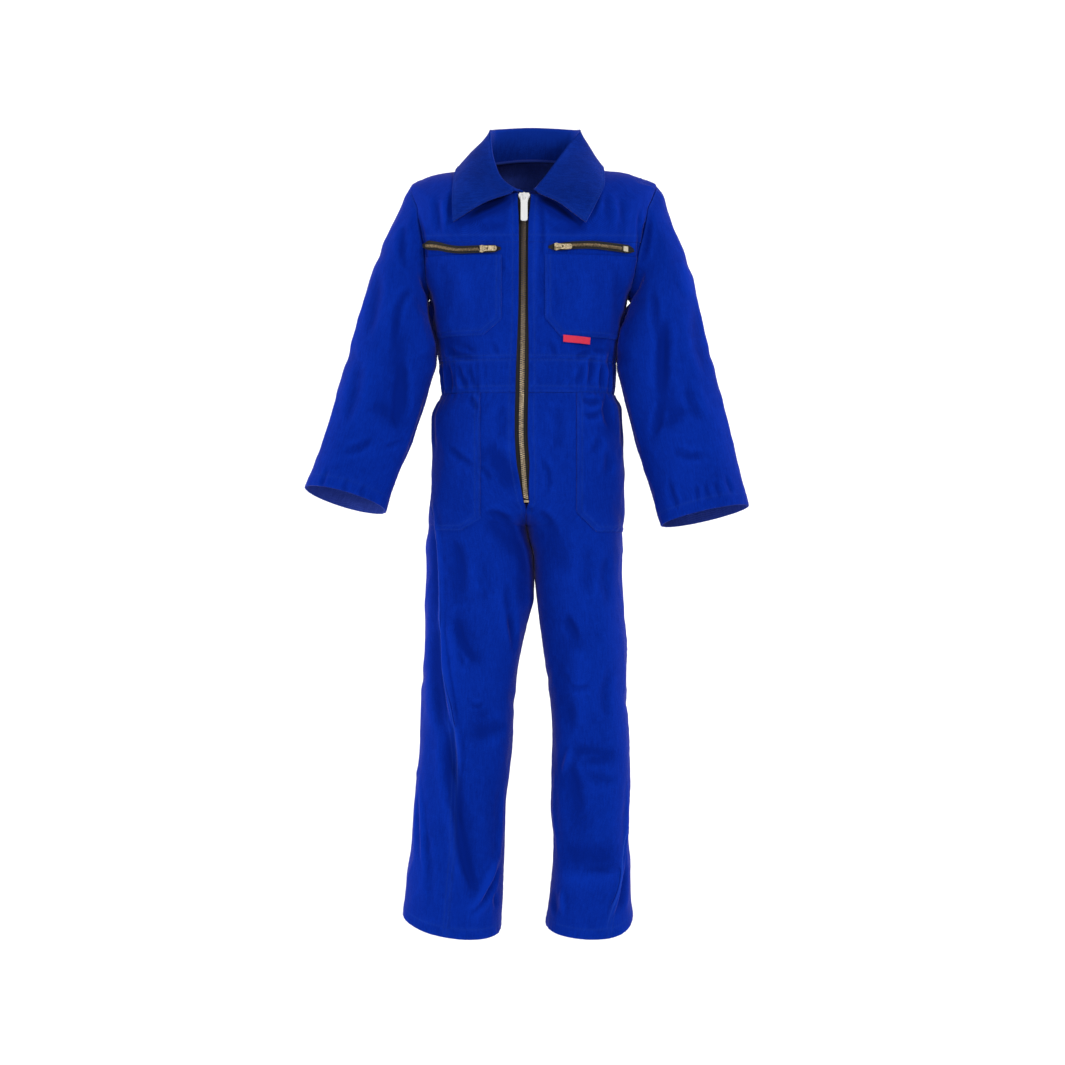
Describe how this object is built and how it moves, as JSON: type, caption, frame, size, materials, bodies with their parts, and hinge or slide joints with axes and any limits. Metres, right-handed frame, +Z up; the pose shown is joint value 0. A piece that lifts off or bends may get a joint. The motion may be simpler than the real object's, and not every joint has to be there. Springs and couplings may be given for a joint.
{
  "type": "boiler suit",
  "caption": "Child's long-sleeved boiler suit, filled out, with full front zip, turned-down collar, zipped chest pockets, hip patch pockets and a label tab.",
  "frame": {"origin": "level of the shoulders on the suit's centre plane, where the wearer holds it up", "axes": "+Z up, front faces -Y, +X towards the wearer's left"},
  "size_m": [0.502, 0.1821, 0.9338],
  "materials": {
    "cloth": "blue cotton twill",
    "tape": "woven zip tape",
    "brass": "antique brass",
    "silver": "nickel plated",
    "label": "bare red woven tab"
  },
  "bodies": {
    "garment": {"front_yoke_right": "cloth", "front_yoke_left": "cloth", "front_right": "cloth", "front_left": "cloth", "back": "cloth", "waistband_right": "cloth", "waistband_left": "cloth", "waistband_back": "cloth", "trouser_front_right": "cloth", "trouser_front_left": "cloth", "trouser_back_right": "cloth", "trouser_back_left": "cloth", "sleeve_right": "cloth", "sleeve_left": "cloth", "collar": "cloth", "chest_pocket_right": "cloth", "chest_pocket_left": "cloth", "hip_pocket_right": "cloth", "hip_pocket_left": "cloth", "label": "label", "zip_tape_right": "tape", "zip_tape_left": "tape", "zip_chain": "brass", "zip_slider": "silver", "zip_stop": "brass", "chest_tape_right": "tape", "chest_tape_left": "tape", "chest_chain_right": "brass", "chest_chain_left": "brass", "chest_slider_right": "brass", "chest_slider_left": "brass", "chest_stop_left": "silver"},
    "main_pull": {"pull_main": "silver"},
    "right_chest_pull": {"pull_chest_right": "brass"},
    "left_chest_pull": {"pull_chest_left": "brass"}
  },
  "joints": [
    {"name": "main_pull_hinge", "type": "hinge", "parent": "garment", "child": "main_pull", "pos_m": [-0.00642, -0.07048, -0.03077], "axis": [-1, 0, 0], "range_deg": [0, 150]},
    {"name": "right_chest_pull_hinge", "type": "hinge", "parent": "garment", "child": "right_chest_pull", "pos_m": [-0.05175, -0.08742, -0.092], "axis": [0, 0, -1], "range_deg": [0, 150]},
    {"name": "left_chest_pull_hinge", "type": "hinge", "parent": "garment", "child": "left_chest_pull", "pos_m": [0.03177, -0.09023, -0.08998], "axis": [0, 0, -1], "range_deg": [0, 150]}
  ]
}
